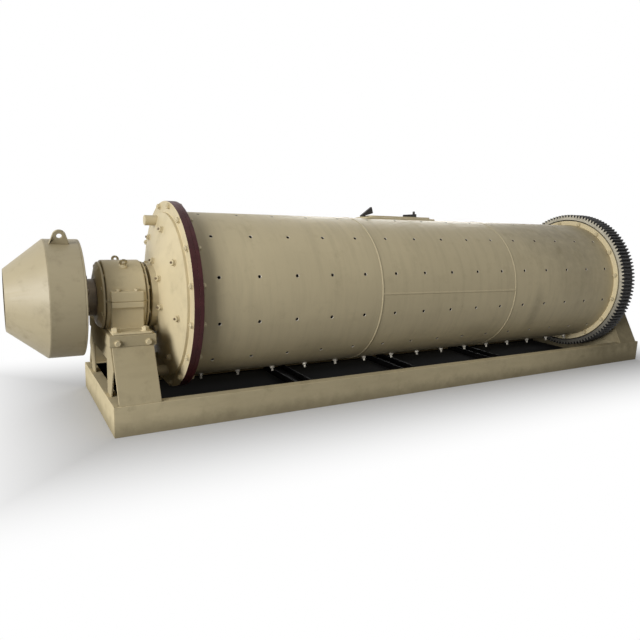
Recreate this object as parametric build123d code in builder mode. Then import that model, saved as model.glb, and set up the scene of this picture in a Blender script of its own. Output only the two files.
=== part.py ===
from build123d import *
from math import acos, cos, pi, radians, sin, tan
import os

os.makedirs("parts", exist_ok=True)

# Ball mill on a channel base, in millimetres. The origin is on the ground in the middle of the
# base, X runs along the mill axis from the feed end to the discharge end, and Z is up.

# Mill shell and heads
axis_height = 830
shell_bore = 1200
shell_wall = 16
shell_length = 4500
course_joints = (-730, 770)
feed_flange_rim = 74
discharge_flange_rim = 49
shell_flange_thickness = 30
head_flange_thickness = 40
head_disc_rim = 5
head_step = 22
cone_reach = 110
hub_radius = 235
hub_reach = 155
trunnion_diameter = 260
trunnion_bore = 170
trunnion_inset = 60
trunnion_reach = 603
trunnion_flange_rim = 50
trunnion_flange_thickness = 26
flange_bolt_count = 8
flange_bolt_inset = 25
flange_bolt_hole = 22
head_pin_diameter = 76
head_pin_reach = 120
head_pin_inset = 45
head_pin_angle = 104

# Manhole
manhole_angle = 107.9
manhole_centre = -148
manhole_frame_length = 810
manhole_frame_width = 460
manhole_frame_thickness = 12
manhole_cover_length = 696
manhole_cover_shift = 32
manhole_cover_width = 380
manhole_cover_thickness = 14
manhole_opening_length = 640
manhole_opening_width = 300
manhole_corner = 40
clamp_angle = 94
clamp_centre = -239
clamp_pitch = 486
clamp_thickness = 30
dog_length = 124
dog_foot = 44
dog_lift = 34
dog_rise = 90
clamp_length = 140
clamp_low = 28
clamp_stud_diameter = 22
clamp_stud_height = 24

# Girth gear
gear_module = 12
gear_pressure_angle = 20
gear_gap = 10
gear_rim = 30
gear_face = 180
gear_overlap = 65
gear_web = 32
gear_web_clearance = 7

# Feeder
feeder_radius = 405
feeder_wall = 10
feeder_back_plate = 12
feeder_drum_length = 222
feeder_cone_length = 243
feeder_mouth_radius = 207
lug_angle = 70
lug_length = 126
lug_eye_rise = 57
lug_eye_radius = 42
lug_thickness = 16
lug_hole = 33
lug_setback = 131

# Trunnion bearings
bearing_reach = 332
bearing_fit = 0.06
bearing_rise = 203
barrel_radius = 262
barrel_length = 262
ear_length = 216
ear_reach = 290
ear_rise = 72
ear_drop = 42
block_length = 218
foot_reach = 412
foot_thickness = 15
cover_slit = 8
cover_spigot_inset = 47
cover_rim_inset = 12
cover_rim = 14
cover_nose = 22
cover_nose_rim = 35
cover_clearance = 2
cover_trim = 4
eye_angle = 60
eye_ring_radius = 20
eye_bar = 16
eye_collar_radius = 28
eye_sides = 12
eye_collar_height = 14

# Pedestals
cap_length = 308
cap_reach = 420
cap_depth = 78
cap_plate = 30
cap_skirt = 20
end_plate_thickness = 12
end_plate_inset = 6
window_reach = 270
window_rail = 107
leg_reach = 386
leg_rise = 196
side_plate_thickness = 18
side_plate_outer_inset = 17
side_plate_inner_inset = 18
side_plate_setback = 5
side_plate_bend = 15

# Base
base_width = 1240
base_height = 205
base_overhang = 18
channel_flange = 75
channel_web = 10
channel_flange_thickness = 11
tie_width = 160
tie_height = 60
tie_wall = 10
tie_pitch = 1150
tie_count = 3

# Sizes that follow from those above
shell_radius = shell_bore / 2 + shell_wall
course_ends = (-shell_length / 2, *course_joints, shell_length / 2)
mill_half = shell_length / 2 + head_flange_thickness
head_disc_radius = shell_bore / 2 + head_disc_rim
trunnion_radius = trunnion_diameter / 2
trunnion_flange_radius = trunnion_radius + trunnion_flange_rim
cover_radius = barrel_radius - cover_rim_inset
cap_top = axis_height - bearing_rise
base_half = mill_half + bearing_reach + cap_length / 2 + base_overhang
mill_axis = Axis((0, 0, axis_height), (1, 0, 0))
ends = {"feed": -1, "discharge": 1}


def reach(side, distance):
    """X of a point this far outside the head flange's face at the feed (-1) or discharge (1) end."""
    return side * (mill_half + distance)


def across(x):
    """Plane square to the mill axis at x, with its origin on the axis."""
    return Plane(origin=(x, 0, axis_height), x_dir=(0, 1, 0), z_dir=(1, 0, 0))


def radial(x, angle):
    """Plane through the axis at x that faces outward at this angle up from the front."""
    outward = (0, -cos(radians(angle)), sin(radians(angle)))
    return Plane(origin=(x, 0, axis_height), x_dir=(1, 0, 0), z_dir=outward)


def save(piece, node):
    """Label a finished piece and write it as its own node."""
    piece.part.label = node
    export_step(piece.part, f"parts/{node}.step")


def turned(points):
    """Piece turned about the mill axis from (x, radius) points."""
    with BuildPart() as piece:
        with BuildSketch(Plane.XZ):
            with BuildLine():
                Polyline([(x, axis_height + radius) for x, radius in points], close=True)
            make_face()
        revolve(axis=mill_axis)
    return piece


def ring(start, end, inner, outer):
    """Plain ring about the mill axis between two places along it."""
    return turned([(start, inner), (end, inner), (end, outer), (start, outer)])


# Shell courses, welded end to end, the middle one with the manhole opening
for number, course in enumerate(("feed", "middle", "discharge")):
    with BuildPart() as shell_course:
        with BuildSketch(across(course_ends[number])):
            Circle(shell_radius)
            Circle(shell_bore / 2, mode=Mode.SUBTRACT)
        extrude(amount=course_ends[number + 1] - course_ends[number])
        if course == "middle":
            with BuildSketch(radial(manhole_centre, manhole_angle)):
                RectangleRounded(manhole_opening_length, manhole_opening_width, manhole_corner)
            extrude(amount=shell_radius, mode=Mode.SUBTRACT)
    save(shell_course, f"shell_course_{course}")

# Flange rings on the shell ends, the one at the discharge end narrower so that it fits in the gear
flange_radii = {"feed": shell_radius + feed_flange_rim, "discharge": shell_radius + discharge_flange_rim}
for end, side in ends.items():
    flange_start = reach(side, -head_flange_thickness - shell_flange_thickness)
    flange_end = reach(side, -head_flange_thickness)
    save(ring(flange_start, flange_end, shell_radius, flange_radii[end]), f"shell_flange_{end}")

# Conical heads with their hubs, and two lifting pins on each
for end, side in ends.items():
    head = turned(
        [
            (reach(side, -head_flange_thickness), shell_bore / 2),
            (reach(side, -head_flange_thickness), flange_radii[end]),
            (reach(side, 0), flange_radii[end]),
            (reach(side, 0), head_disc_radius),
            (reach(side, head_step), head_disc_radius),
            (reach(side, cone_reach), hub_radius),
            (reach(side, hub_reach), hub_radius),
            (reach(side, hub_reach), trunnion_radius),
            (reach(side, trunnion_inset), trunnion_radius),
        ]
    )
    save(head, f"{end}_head")
    with BuildPart() as head_pins:
        with BuildSketch(across(reach(side, 0))):
            with PolarLocations(head_disc_radius - head_pin_inset, 2, start_angle=180 - head_pin_angle):
                Circle(head_pin_diameter / 2)
        extrude(amount=side * head_pin_reach)
        add(head.part, mode=Mode.SUBTRACT)
    save(head_pins, f"{end}_head_pins")

# Hollow trunnions, each seated in its hub and ending in a flange, the free one with bolt holes
for end, side in ends.items():
    flange_face = reach(side, trunnion_reach)
    flange_back = reach(side, trunnion_reach - trunnion_flange_thickness)
    trunnion = turned(
        [
            (reach(side, trunnion_inset), trunnion_bore / 2),
            (reach(side, trunnion_inset), trunnion_radius),
            (flange_back, trunnion_radius),
            (flange_back, trunnion_flange_radius),
            (flange_face, trunnion_flange_radius),
            (flange_face, trunnion_bore / 2),
        ]
    )
    with BuildPart() as drilled_trunnion:
        add(trunnion.part)
        if end == "discharge":
            with BuildSketch(across(flange_face)):
                with PolarLocations(trunnion_flange_radius - flange_bolt_inset, flange_bolt_count):
                    Circle(flange_bolt_hole / 2)
            extrude(amount=-trunnion_flange_thickness, mode=Mode.SUBTRACT)
    save(drilled_trunnion, f"{end}_trunnion")

# Manhole frame and cover, bent to the shell, and the two clamps on the cover's near edge
frame_top = shell_radius + manhole_frame_thickness
cover_top = frame_top + manhole_cover_thickness
with BuildPart() as manhole_frame:
    with BuildSketch(radial(manhole_centre, manhole_angle)):
        RectangleRounded(manhole_frame_length, manhole_frame_width, manhole_corner)
    extrude(amount=2 * shell_radius)
    with BuildSketch(across(manhole_centre)):
        Circle(frame_top)
        Circle(shell_radius, mode=Mode.SUBTRACT)
    extrude(amount=manhole_frame_length, both=True, mode=Mode.INTERSECT)
    with BuildSketch(radial(manhole_centre, manhole_angle)):
        RectangleRounded(manhole_opening_length, manhole_opening_width, manhole_corner)
    extrude(amount=2 * shell_radius, mode=Mode.SUBTRACT)
save(manhole_frame, "manhole_frame")

cover_centre = manhole_centre + manhole_cover_shift
with BuildPart() as manhole_cover:
    with BuildSketch(radial(cover_centre, manhole_angle)):
        RectangleRounded(manhole_cover_length, manhole_cover_width, manhole_corner)
    extrude(amount=2 * shell_radius)
    with BuildSketch(across(cover_centre)):
        Circle(cover_top)
        Circle(frame_top, mode=Mode.SUBTRACT)
    extrude(amount=manhole_cover_length, both=True, mode=Mode.INTERSECT)
save(manhole_cover, "manhole_cover")

clamp_low_top = cover_top + clamp_low
dog_start = clamp_centre - clamp_pitch / 2 - dog_length / 2
dog_end = dog_start + dog_length
bar_start = clamp_centre + clamp_pitch / 2 - clamp_length / 2
bar_end = bar_start + clamp_length
clamp_across = Plane(
    origin=(0, 0, axis_height),
    x_dir=(1, 0, 0),
    z_dir=(0, -sin(radians(clamp_angle)), -cos(radians(clamp_angle))),
)
with BuildPart() as manhole_clamps:
    with BuildSketch(clamp_across):
        with BuildLine():
            Polyline(
                (dog_start, shell_radius),
                (dog_start + dog_foot, shell_radius),
                (dog_start + dog_foot, frame_top + dog_lift / 3),
                (dog_end, frame_top + dog_lift),
                (dog_end - dog_foot / 3, frame_top + dog_rise),
                (dog_start, frame_top + dog_lift / 3),
                close=True,
            )
        make_face()
    extrude(amount=clamp_thickness / 2, both=True)
    with BuildSketch(across(dog_start)):
        Circle(frame_top)
    extrude(amount=dog_length, mode=Mode.SUBTRACT)
    with BuildSketch(clamp_across):
        with BuildLine():
            Polyline(
                (bar_start, shell_radius),
                (bar_end, shell_radius),
                (bar_end, clamp_low_top),
                (bar_start, clamp_low_top - clamp_low / 3),
                close=True,
            )
        make_face()
    extrude(amount=clamp_thickness / 2, both=True)
    with BuildSketch(radial(bar_end - clamp_stud_diameter, clamp_angle)):
        Circle(clamp_stud_diameter / 2)
    extrude(amount=clamp_low_top + clamp_stud_height)
    with BuildSketch(across(bar_start)):
        Circle(cover_top)
    extrude(amount=clamp_length, mode=Mode.SUBTRACT)
save(manhole_clamps, "manhole_clamps")

# Girth gear: involute teeth on a rim around the discharge flange, with a web behind that bolts
# to the head flange's face
gear_bore = flange_radii["discharge"] + gear_gap
gear_teeth = round(2 * (gear_bore + gear_rim) / gear_module + 2.5)
pitch_radius = gear_module * gear_teeth / 2
root_radius = pitch_radius - 1.25 * gear_module
tip_radius = pitch_radius + gear_module
base_circle = pitch_radius * cos(radians(gear_pressure_angle))


def involute(angle):
    """Involute function of a pressure angle in radians."""
    return tan(angle) - angle


def half_tooth(radius):
    """Half of a tooth's width at this radius, as an angle about the gear's centre."""
    at_pitch = pi / (2 * gear_teeth) + involute(radians(gear_pressure_angle))
    return at_pitch - involute(acos(min(1, base_circle / radius)))


tooth_outline = []
for tooth in range(gear_teeth):
    middle = 2 * pi * tooth / gear_teeth
    flank = [(radius, half_tooth(radius)) for radius in (root_radius, pitch_radius, tip_radius)]
    for radius, half in flank:
        tooth_outline.append((radius * cos(middle - half), radius * sin(middle - half)))
    for radius, half in reversed(flank):
        tooth_outline.append((radius * cos(middle + half), radius * sin(middle + half)))

with BuildPart() as girth_gear:
    with BuildSketch(across(reach(1, -gear_overlap))):
        with BuildLine():
            Polyline(tooth_outline, close=True)
        make_face()
        Circle(gear_bore, mode=Mode.SUBTRACT)
    extrude(amount=gear_face)
    with BuildSketch(across(reach(1, 0))):
        Circle(gear_bore + gear_rim / 2)
        Circle(head_disc_radius + gear_web_clearance, mode=Mode.SUBTRACT)
    extrude(amount=gear_web)
save(girth_gear, "girth_gear")

# Drum feeder on the feed trunnion: back plate, drum, cone open at its small end, lifting lug
back_face = reach(-1, trunnion_reach)
drum_start = reach(-1, trunnion_reach + feeder_back_plate)
cone_start = reach(-1, trunnion_reach + feeder_drum_length)
cone_end = reach(-1, trunnion_reach + feeder_drum_length + feeder_cone_length)
save(ring(drum_start, back_face, trunnion_bore / 2, feeder_radius), "feeder_back_plate")
save(ring(cone_start, drum_start, feeder_radius - feeder_wall, feeder_radius), "feeder_drum")
feeder_cone = turned(
    [
        (cone_start, feeder_radius - feeder_wall),
        (cone_start, feeder_radius),
        (cone_end, feeder_mouth_radius),
        (cone_end, feeder_mouth_radius - feeder_wall),
    ]
)
save(feeder_cone, "feeder_cone")

lug_place = reach(-1, trunnion_reach + lug_setback)
lug_plane = Plane(
    origin=(lug_place, 0, axis_height),
    x_dir=(1, 0, 0),
    z_dir=(0, -sin(radians(lug_angle)), -cos(radians(lug_angle))),
)
with BuildPart() as feeder_lug:
    with BuildSketch(lug_plane):
        with Locations((0, feeder_radius - feeder_wall / 2)):
            Rectangle(lug_length, feeder_wall)
        with Locations((0, feeder_radius + lug_eye_rise)):
            Circle(lug_eye_radius)
        make_hull()
        with Locations((0, feeder_radius + lug_eye_rise)):
            Circle(lug_hole / 2, mode=Mode.SUBTRACT)
    extrude(amount=lug_thickness / 2, both=True)
    with BuildSketch(across(drum_start)):
        Circle(feeder_radius)
    extrude(amount=-feeder_drum_length, mode=Mode.SUBTRACT)
save(feeder_lug, "feeder_lug")

# Trunnion bearings: housings split at the axis, end covers trimmed flat above the pedestal cap,
# two eye bolts on each upper half
for end, side in ends.items():
    bearing_centre = reach(side, bearing_reach)
    for half, kept in (("lower", Keep.BOTTOM), ("upper", Keep.TOP)):
        with BuildPart() as housing:
            with BuildSketch(across(bearing_centre)):
                Circle(barrel_radius)
            extrude(amount=barrel_length / 2, both=True)
            with BuildSketch(across(bearing_centre)):
                with Locations((0, (ear_rise - ear_drop) / 2)):
                    Rectangle(2 * ear_reach, ear_rise + ear_drop)
            extrude(amount=ear_length / 2, both=True)
            with BuildSketch(across(bearing_centre)):
                with Locations((0, -bearing_rise / 2)):
                    Rectangle(2 * barrel_radius, bearing_rise)
            extrude(amount=block_length / 2, both=True)
            with BuildSketch(Plane.XY.offset(cap_top)):
                with Locations((bearing_centre, 0)):
                    Rectangle(barrel_length, 2 * foot_reach)
            extrude(amount=foot_thickness)
            with BuildSketch(Plane.XY.offset(cap_top)):
                with Locations((bearing_centre, 0)):
                    Rectangle(2 * barrel_length, 2 * foot_reach)
            extrude(amount=-barrel_radius, mode=Mode.SUBTRACT)
            with BuildSketch(across(bearing_centre)):
                Circle(trunnion_radius + bearing_fit)
            extrude(amount=barrel_length, both=True, mode=Mode.SUBTRACT)
            split(bisect_by=Plane.XY.offset(axis_height), keep=kept)
        save(housing, f"{end}_bearing_housing_{half}")
    for face, facing in (("outer", side), ("inner", -side)):
        housing_face = bearing_centre + facing * barrel_length / 2
        rim_start = housing_face + facing * cover_slit
        rim_end = rim_start + facing * cover_rim
        nose_end = rim_end + facing * (cover_nose if face == "outer" else 0)
        round_cover = turned(
            [
                (housing_face, trunnion_radius + cover_clearance),
                (housing_face, barrel_radius - cover_spigot_inset),
                (rim_start, barrel_radius - cover_spigot_inset),
                (rim_start, cover_radius),
                (rim_end, cover_radius),
            ]
            + ([(nose_end, trunnion_radius + cover_nose_rim)] if face == "outer" else [])
            + [(nose_end, trunnion_radius + cover_clearance)]
        )
        with BuildPart() as cover:
            add(round_cover.part)
            split(bisect_by=Plane.XY.offset(cap_top + cover_trim), keep=Keep.TOP)
        save(cover, f"{end}_bearing_cover_{face}")
    with BuildPart() as eye_bolts:
        for angle in (eye_angle, 180 - eye_angle):
            eye_centre = barrel_radius + eye_collar_height + eye_ring_radius
            outward = radial(bearing_centre, angle)
            with BuildSketch(outward):
                Circle(eye_collar_radius)
            extrude(amount=barrel_radius + eye_collar_height)
            ring_place = outward.offset(eye_centre).origin
            with BuildSketch(Plane(origin=ring_place, x_dir=(1, 0, 0), z_dir=outward.y_dir)):
                RegularPolygon(eye_ring_radius + eye_bar / 2, eye_sides)
                RegularPolygon(eye_ring_radius - eye_bar / 2, eye_sides, mode=Mode.SUBTRACT)
            extrude(amount=eye_bar / 2, both=True)
        with BuildSketch(across(bearing_centre)):
            Circle(barrel_radius)
        extrude(amount=barrel_length / 2, both=True, mode=Mode.SUBTRACT)
    save(eye_bolts, f"{end}_bearing_eye_bolts")

# Pedestals: a skirted cap, sloping side plates, a flared portal at the outer end, a closed inner end
for end, side in ends.items():
    pedestal_centre = reach(side, bearing_reach)
    skirt_bottom = cap_top - cap_depth
    with BuildPart() as cap:
        with BuildSketch(Plane.XY.offset(cap_top)):
            with Locations((pedestal_centre, 0)):
                Rectangle(cap_length, 2 * cap_reach)
        extrude(amount=-cap_depth)
        with BuildSketch(Plane.XY.offset(skirt_bottom)):
            with Locations((pedestal_centre, 0)):
                Rectangle(cap_length - 2 * cap_skirt, 2 * (cap_reach - cap_skirt))
        extrude(amount=cap_depth - cap_plate, mode=Mode.SUBTRACT)
    save(cap, f"{end}_pedestal_cap")

    plate_outer = reach(side, bearing_reach + cap_length / 2 - side_plate_outer_inset)
    plate_inner = reach(side, bearing_reach - cap_length / 2 + side_plate_inner_inset)
    side_plate_foot = base_width / 2 - side_plate_setback
    slope_run = (side_plate_foot - cap_reach) / (skirt_bottom - base_height)
    level_thickness = side_plate_thickness * (1 + slope_run**2) ** 0.5
    for face, facing in (("front", -1), ("rear", 1)):
        with BuildPart() as side_plate:
            with BuildSketch(Plane.YZ.offset(plate_outer)):
                with BuildLine():
                    Polyline(
                        (facing * cap_reach, skirt_bottom),
                        (facing * side_plate_foot, base_height),
                        (facing * (side_plate_foot - level_thickness), base_height),
                        (facing * (cap_reach - level_thickness), skirt_bottom),
                        close=True,
                    )
                make_face()
            extrude(amount=plate_inner - plate_outer)
            sloped_edges = side_plate.edges().filter_by_position(Axis.X, plate_outer, plate_outer)
            outside_edge = sloped_edges.sort_by(Axis.Y)[-1 if facing > 0 else 0]
            fillet(outside_edge, side_plate_bend)
        save(side_plate, f"{end}_pedestal_{face}_plate")

    leg_flare = side_plate_foot - level_thickness - slope_run * leg_rise
    with BuildPart() as outer_plate:
        with BuildSketch(Plane.YZ.offset(reach(side, bearing_reach + cap_length / 2 - end_plate_inset))):
            with BuildLine():
                Polyline(
                    (-leg_reach, base_height),
                    (leg_reach, base_height),
                    (leg_flare, base_height + leg_rise),
                    (cap_reach - level_thickness, skirt_bottom),
                    (level_thickness - cap_reach, skirt_bottom),
                    (-leg_flare, base_height + leg_rise),
                    close=True,
                )
            make_face()
            with Locations((0, (skirt_bottom - window_rail + base_height) / 2)):
                Rectangle(2 * window_reach, skirt_bottom - window_rail - base_height, mode=Mode.SUBTRACT)
        extrude(amount=-side * end_plate_thickness)
    save(outer_plate, f"{end}_pedestal_outer_plate")

    with BuildPart() as inner_plate:
        with BuildSketch(Plane.YZ.offset(plate_inner)):
            with BuildLine():
                Polyline(
                    (level_thickness - cap_reach, skirt_bottom),
                    (level_thickness - side_plate_foot, base_height),
                    (side_plate_foot - level_thickness, base_height),
                    (cap_reach - level_thickness, skirt_bottom),
                    close=True,
                )
            make_face()
        extrude(amount=side * end_plate_thickness)
    save(inner_plate, f"{end}_pedestal_inner_plate")

# Base: four channels mitred at the corners, two channels under the inner plates, low ties between
corner_run = channel_flange
cavity_width = channel_flange - channel_web
cavity_height = base_height - 2 * channel_flange_thickness
for face, facing in (("front", -1), ("rear", 1)):
    with BuildPart() as side_beam:
        outside = facing * base_width / 2
        with BuildSketch(Plane.XY):
            with BuildLine():
                Polyline(
                    (-base_half, outside),
                    (base_half, outside),
                    (base_half - corner_run, outside - facing * channel_flange),
                    (-base_half + corner_run, outside - facing * channel_flange),
                    close=True,
                )
            make_face()
        extrude(amount=base_height)
        with BuildSketch(Plane.XY.offset(channel_flange_thickness)):
            with Locations((0, outside - facing * (channel_web + cavity_width / 2))):
                Rectangle(2 * base_half, cavity_width)
        extrude(amount=cavity_height, mode=Mode.SUBTRACT)
    save(side_beam, f"base_side_beam_{face}")

for end, side in ends.items():
    with BuildPart() as end_beam:
        outside = side * base_half
        with BuildSketch(Plane.XY):
            with BuildLine():
                Polyline(
                    (outside, -base_width / 2),
                    (outside, base_width / 2),
                    (outside - side * channel_flange, base_width / 2 - corner_run),
                    (outside - side * channel_flange, -base_width / 2 + corner_run),
                    close=True,
                )
            make_face()
        extrude(amount=base_height)
        with BuildSketch(Plane.XY.offset(channel_flange_thickness)):
            with Locations((outside - side * (channel_web + cavity_width / 2), 0)):
                Rectangle(cavity_width, base_width)
        extrude(amount=cavity_height, mode=Mode.SUBTRACT)
    save(end_beam, f"base_end_beam_{end}")

inside_length = base_width - 2 * channel_flange
with BuildPart() as cross_beams:
    for side in ends.values():
        beam_face = reach(side, bearing_reach - cap_length / 2 + side_plate_inner_inset)
        with BuildSketch(Plane.XY):
            with Locations((beam_face + side * channel_flange / 2, 0)):
                Rectangle(channel_flange, inside_length)
        extrude(amount=base_height)
        with BuildSketch(Plane.XY.offset(channel_flange_thickness)):
            with Locations((beam_face + side * (channel_web + cavity_width / 2), 0)):
                Rectangle(cavity_width, inside_length)
        extrude(amount=cavity_height, mode=Mode.SUBTRACT)
save(cross_beams, "base_cross_beams")

with BuildPart() as ties:
    with BuildSketch(Plane.XY):
        with GridLocations(tie_pitch, 0, tie_count, 1):
            Rectangle(tie_width, inside_length)
    extrude(amount=tie_height)
    with BuildSketch(Plane.XY.offset(tie_wall)):
        with GridLocations(tie_pitch, 0, tie_count, 1):
            Rectangle(tie_width - 2 * tie_wall, inside_length)
    extrude(amount=tie_height, mode=Mode.SUBTRACT)
save(ties, "base_ties")
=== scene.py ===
"""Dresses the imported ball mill: rounded metalwork, drilled shell, bolts, weld beads, paint and a studio."""

import math

import bmesh
import bpy
from bpy.props import FloatProperty, FloatVectorProperty, IntProperty, PointerProperty
from mathutils import Matrix, Vector


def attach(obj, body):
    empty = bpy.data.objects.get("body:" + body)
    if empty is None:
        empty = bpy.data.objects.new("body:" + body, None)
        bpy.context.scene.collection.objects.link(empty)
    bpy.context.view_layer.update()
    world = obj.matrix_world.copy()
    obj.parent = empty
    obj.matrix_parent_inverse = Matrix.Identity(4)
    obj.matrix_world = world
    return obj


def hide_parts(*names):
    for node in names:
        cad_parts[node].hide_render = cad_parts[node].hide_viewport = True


bl_info = {
    "name": "Ball Mill Dressing",
    "version": (1, 0, 0),
    "blender": (4, 5, 0),
    "location": "View3D > Sidebar > Ball Mill",
    "description": "Adds the finish, fasteners, weld beads and studio of a ball mill to its packed frame",
    "category": "Object",
}

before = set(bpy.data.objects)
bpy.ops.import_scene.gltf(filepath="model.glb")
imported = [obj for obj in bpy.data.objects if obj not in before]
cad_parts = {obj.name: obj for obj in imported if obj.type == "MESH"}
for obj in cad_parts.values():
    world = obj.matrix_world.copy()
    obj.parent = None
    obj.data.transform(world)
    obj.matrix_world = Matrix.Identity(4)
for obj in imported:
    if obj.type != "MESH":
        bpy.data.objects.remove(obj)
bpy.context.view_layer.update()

# Places on the mill, in metres, as the solids have them
AXIS_HEIGHT = 0.830
SHELL_RADIUS = 0.616
SHELL_WALL = 0.016
SHELL_HALF = 2.250
COURSE_JOINTS = (-0.730, 0.770)
HEAD_FACE = 2.290
HEAD_DISC_RADIUS = 0.605
HEAD_STEP = 0.022
CONE_REACH = 0.110
HUB_RADIUS = 0.235
TRUNNION_FLANGE_BACK = 0.577
BEARING_REACH = 0.332
BARREL_RADIUS = 0.262
BARREL_HALF = 0.131
COVER_SLIT = 0.008
COVER_RIM = 0.014
FOOT_TOP = AXIS_HEIGHT - 0.188
EAR_TOP = AXIS_HEIGHT + 0.072
CAP_FRONT = 0.420
CAP_MIDDLE = AXIS_HEIGHT - 0.254
GEAR_FACE = 2.225
MANHOLE_CENTRE = -0.148
MANHOLE_ANGLE = math.radians(107.9)
ENDS = {"feed": -1, "discharge": 1}
SIDES = {"front": -1, "rear": 1}
BASE_HALF_LENGTH = 2.76
BASE_HALF_WIDTH = 0.58
AXLE = Matrix.Translation((0, 0, AXIS_HEIGHT)) @ Matrix.Rotation(math.pi / 2, 4, "Y")

# Places of the fasteners, in metres and degrees
CAP_BOLT_ALONG = 0.101
FOOT_BOLT_SHIFT = 0.005
FOOT_BOLT_ALONG = 0.098
FOOT_BOLT_ACROSS = 0.362
EAR_BOLT_ALONG = 0.061
EAR_BOLT_ACROSS = 0.270
COVER_BOLT_RADIUS = 0.226
COVER_SCREW_RADIUS = 0.240
EYE_HEIGHT = 0.034
EYE_RADIUS = 0.0192
EYE_STOCK = 0.0088
FLANGE_PAIR = 0.070
FLANGE_BOLT_COUNT = 16
FLANGE_BOLT_RADIUS = {"feed": 0.663, "discharge": 0.638}
FLANGE_BOLT_START = {"feed": 12.5, "discharge": 11.25}
HEAD_RIM = 0.655
HEAD_BOLT_RADII = (0.493, 0.262)
HEAD_BOLT_START = 33.75
TRUNNION_BOLT_RADIUS = 0.157
BOLT_SMOOTH = 20

# Lines of the shell's sheet beside each hole, as distances along it and shares of the pitch round it
HOLE_COLUMNS = (-0.03, -0.015, 0, 0.015, 0.03)
HOLE_ROWS = (0.5, 0.3, 0.1, 0.05, 0, -0.05, -0.1, -0.3)
COLUMN_STEP = 1 + len(HOLE_COLUMNS)
ROW_STEP = len(HOLE_ROWS)
HOLE_COLUMN = 1 + HOLE_COLUMNS.index(0)
HOLE_ROW = HOLE_ROWS.index(0)
SEAM_ANGLES = (150, 2, 205)
SEAM_SLOPE = math.radians(1.6)
SEAM_INSET = 0.03

# Camera, in metres, degrees and millimetres of lens
CAMERA_PLACE = (-3.430, -4.2849, 1.4627)
CAMERA_HEADING = -30.099
CAMERA_DIP = 10.371
CAMERA_ROLL = 2.148
CAMERA_LENS = 32.407


def reach(side, distance):
    """X of a point this far outside the head flange's face at one end."""
    return side * (HEAD_FACE + distance)


def outward(angle):
    """Direction away from the mill axis at an angle up from the front."""
    return Vector((0, -math.cos(angle), math.sin(angle)))


def on_drum(x, radius, angle):
    """Point on the drum at a place along it, a radius and an angle up from the front."""
    return Vector((x, 0, AXIS_HEIGHT)) + radius * outward(angle)


def facing(point, direction, turn=0.0):
    """Placement whose Z points in a direction, turned about it."""
    upright = Vector(direction).to_track_quat("Z", "Y").to_matrix().to_4x4()
    return Matrix.Translation(point) @ upright @ Matrix.Rotation(turn, 4, "Z")


def linear(red, green, blue):
    """Linear colour of a tone given in 0 to 255 steps."""
    steps = [value / 255 for value in (red, green, blue)]
    return tuple(v / 12.92 if v <= 0.04045 else ((v + 0.055) / 1.055) ** 2.4 for v in steps)


class MillSizes(bpy.types.PropertyGroup):
    """Sizes of the small work on the mill."""

    plate_edge: FloatProperty(
        name="Plate edge", description="Rounding of cut plate edges", default=0.003, unit="LENGTH"
    )
    cast_edge: FloatProperty(
        name="Cast edge", description="Rounding of the bearing housings' edges", default=0.007, unit="LENGTH"
    )
    turned_edge: FloatProperty(
        name="Turned edge", description="Rounding of turned edges", default=0.003, unit="LENGTH"
    )
    tooth_edge: FloatProperty(
        name="Tooth edge", description="Rounding of the gear's tooth ends", default=0.0016, unit="LENGTH"
    )
    liner_hole: FloatProperty(
        name="Liner hole", description="Diameter of a liner bolt hole", default=0.027, unit="LENGTH"
    )
    liner_pitch: FloatProperty(
        name="Liner pitch", description="Distance between holes along a row", default=0.298, unit="LENGTH"
    )
    liner_start: FloatProperty(
        name="First liner hole", description="X of the first hole of each row", default=-2.085, unit="LENGTH"
    )
    liner_count: IntProperty(name="Holes in a row", description="Liner holes along a row", default=15)
    liner_rows: IntProperty(name="Liner rows", description="Rows of liner holes round the shell", default=12)
    liner_turn: FloatProperty(
        name="Liner row angle",
        description="Angle of one row of holes up from the front",
        default=math.radians(47.86),
        subtype="ANGLE",
    )
    bead_width: FloatProperty(
        name="Weld width", description="Width of the shell's weld beads", default=0.017, unit="LENGTH"
    )
    bead_rise: FloatProperty(
        name="Weld height", description="Height of the shell's weld beads", default=0.0035, unit="LENGTH"
    )


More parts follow.
